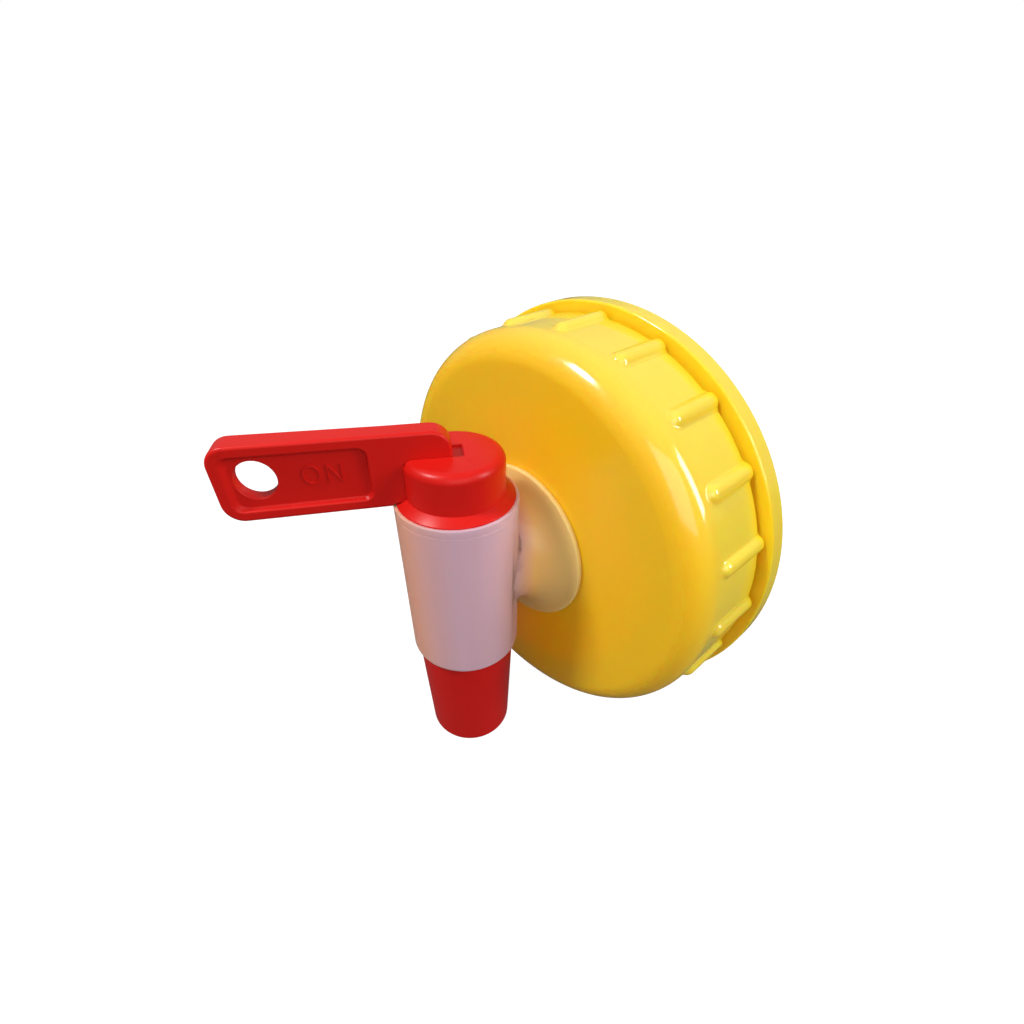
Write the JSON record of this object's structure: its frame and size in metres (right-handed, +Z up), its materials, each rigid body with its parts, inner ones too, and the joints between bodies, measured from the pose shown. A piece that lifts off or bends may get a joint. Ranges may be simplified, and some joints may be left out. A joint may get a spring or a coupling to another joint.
{
  "type": "lever drum tap",
  "caption": "Screw cap for a drum or jerrycan neck with a plug tap in it: a blade lever turns the hollow plug in its upright barrel, and the liquid runs out of the spout below.",
  "frame": {"origin": "on the cap's axis, in the plane where the skirt and its thread end and the neck comes in", "axes": "+Y along the cap's axis towards the container, +Z up along the barrel's axis with the spout down"},
  "size_m": [0.0708, 0.0586, 0.072],
  "materials": {
    "cap_yellow": "gloss",
    "liner_foam": "matt",
    "seal_rubber": "matt",
    "natural_plastic": "translucent",
    "plug_red": "satin gloss"
  },
  "bodies": {
    "cap": {"screw_cap": "cap_yellow", "tamper_band": "cap_yellow", "cap_liner": "liner_foam", "spigot_washer": "seal_rubber", "retaining_nut": "natural_plastic", "tap_body": "natural_plastic"},
    "turning_plug": {"plug": "plug_red", "lever": "plug_red", "upper_plug_seal": "seal_rubber", "lower_plug_seal": "seal_rubber"}
  },
  "joints": [
    {"name": "lever_turn", "type": "hinge", "parent": "cap", "child": "turning_plug", "pos_m": [0, -0.0278, 0], "axis": [0, 0, 1], "range_deg": [-57, 123]}
  ]
}
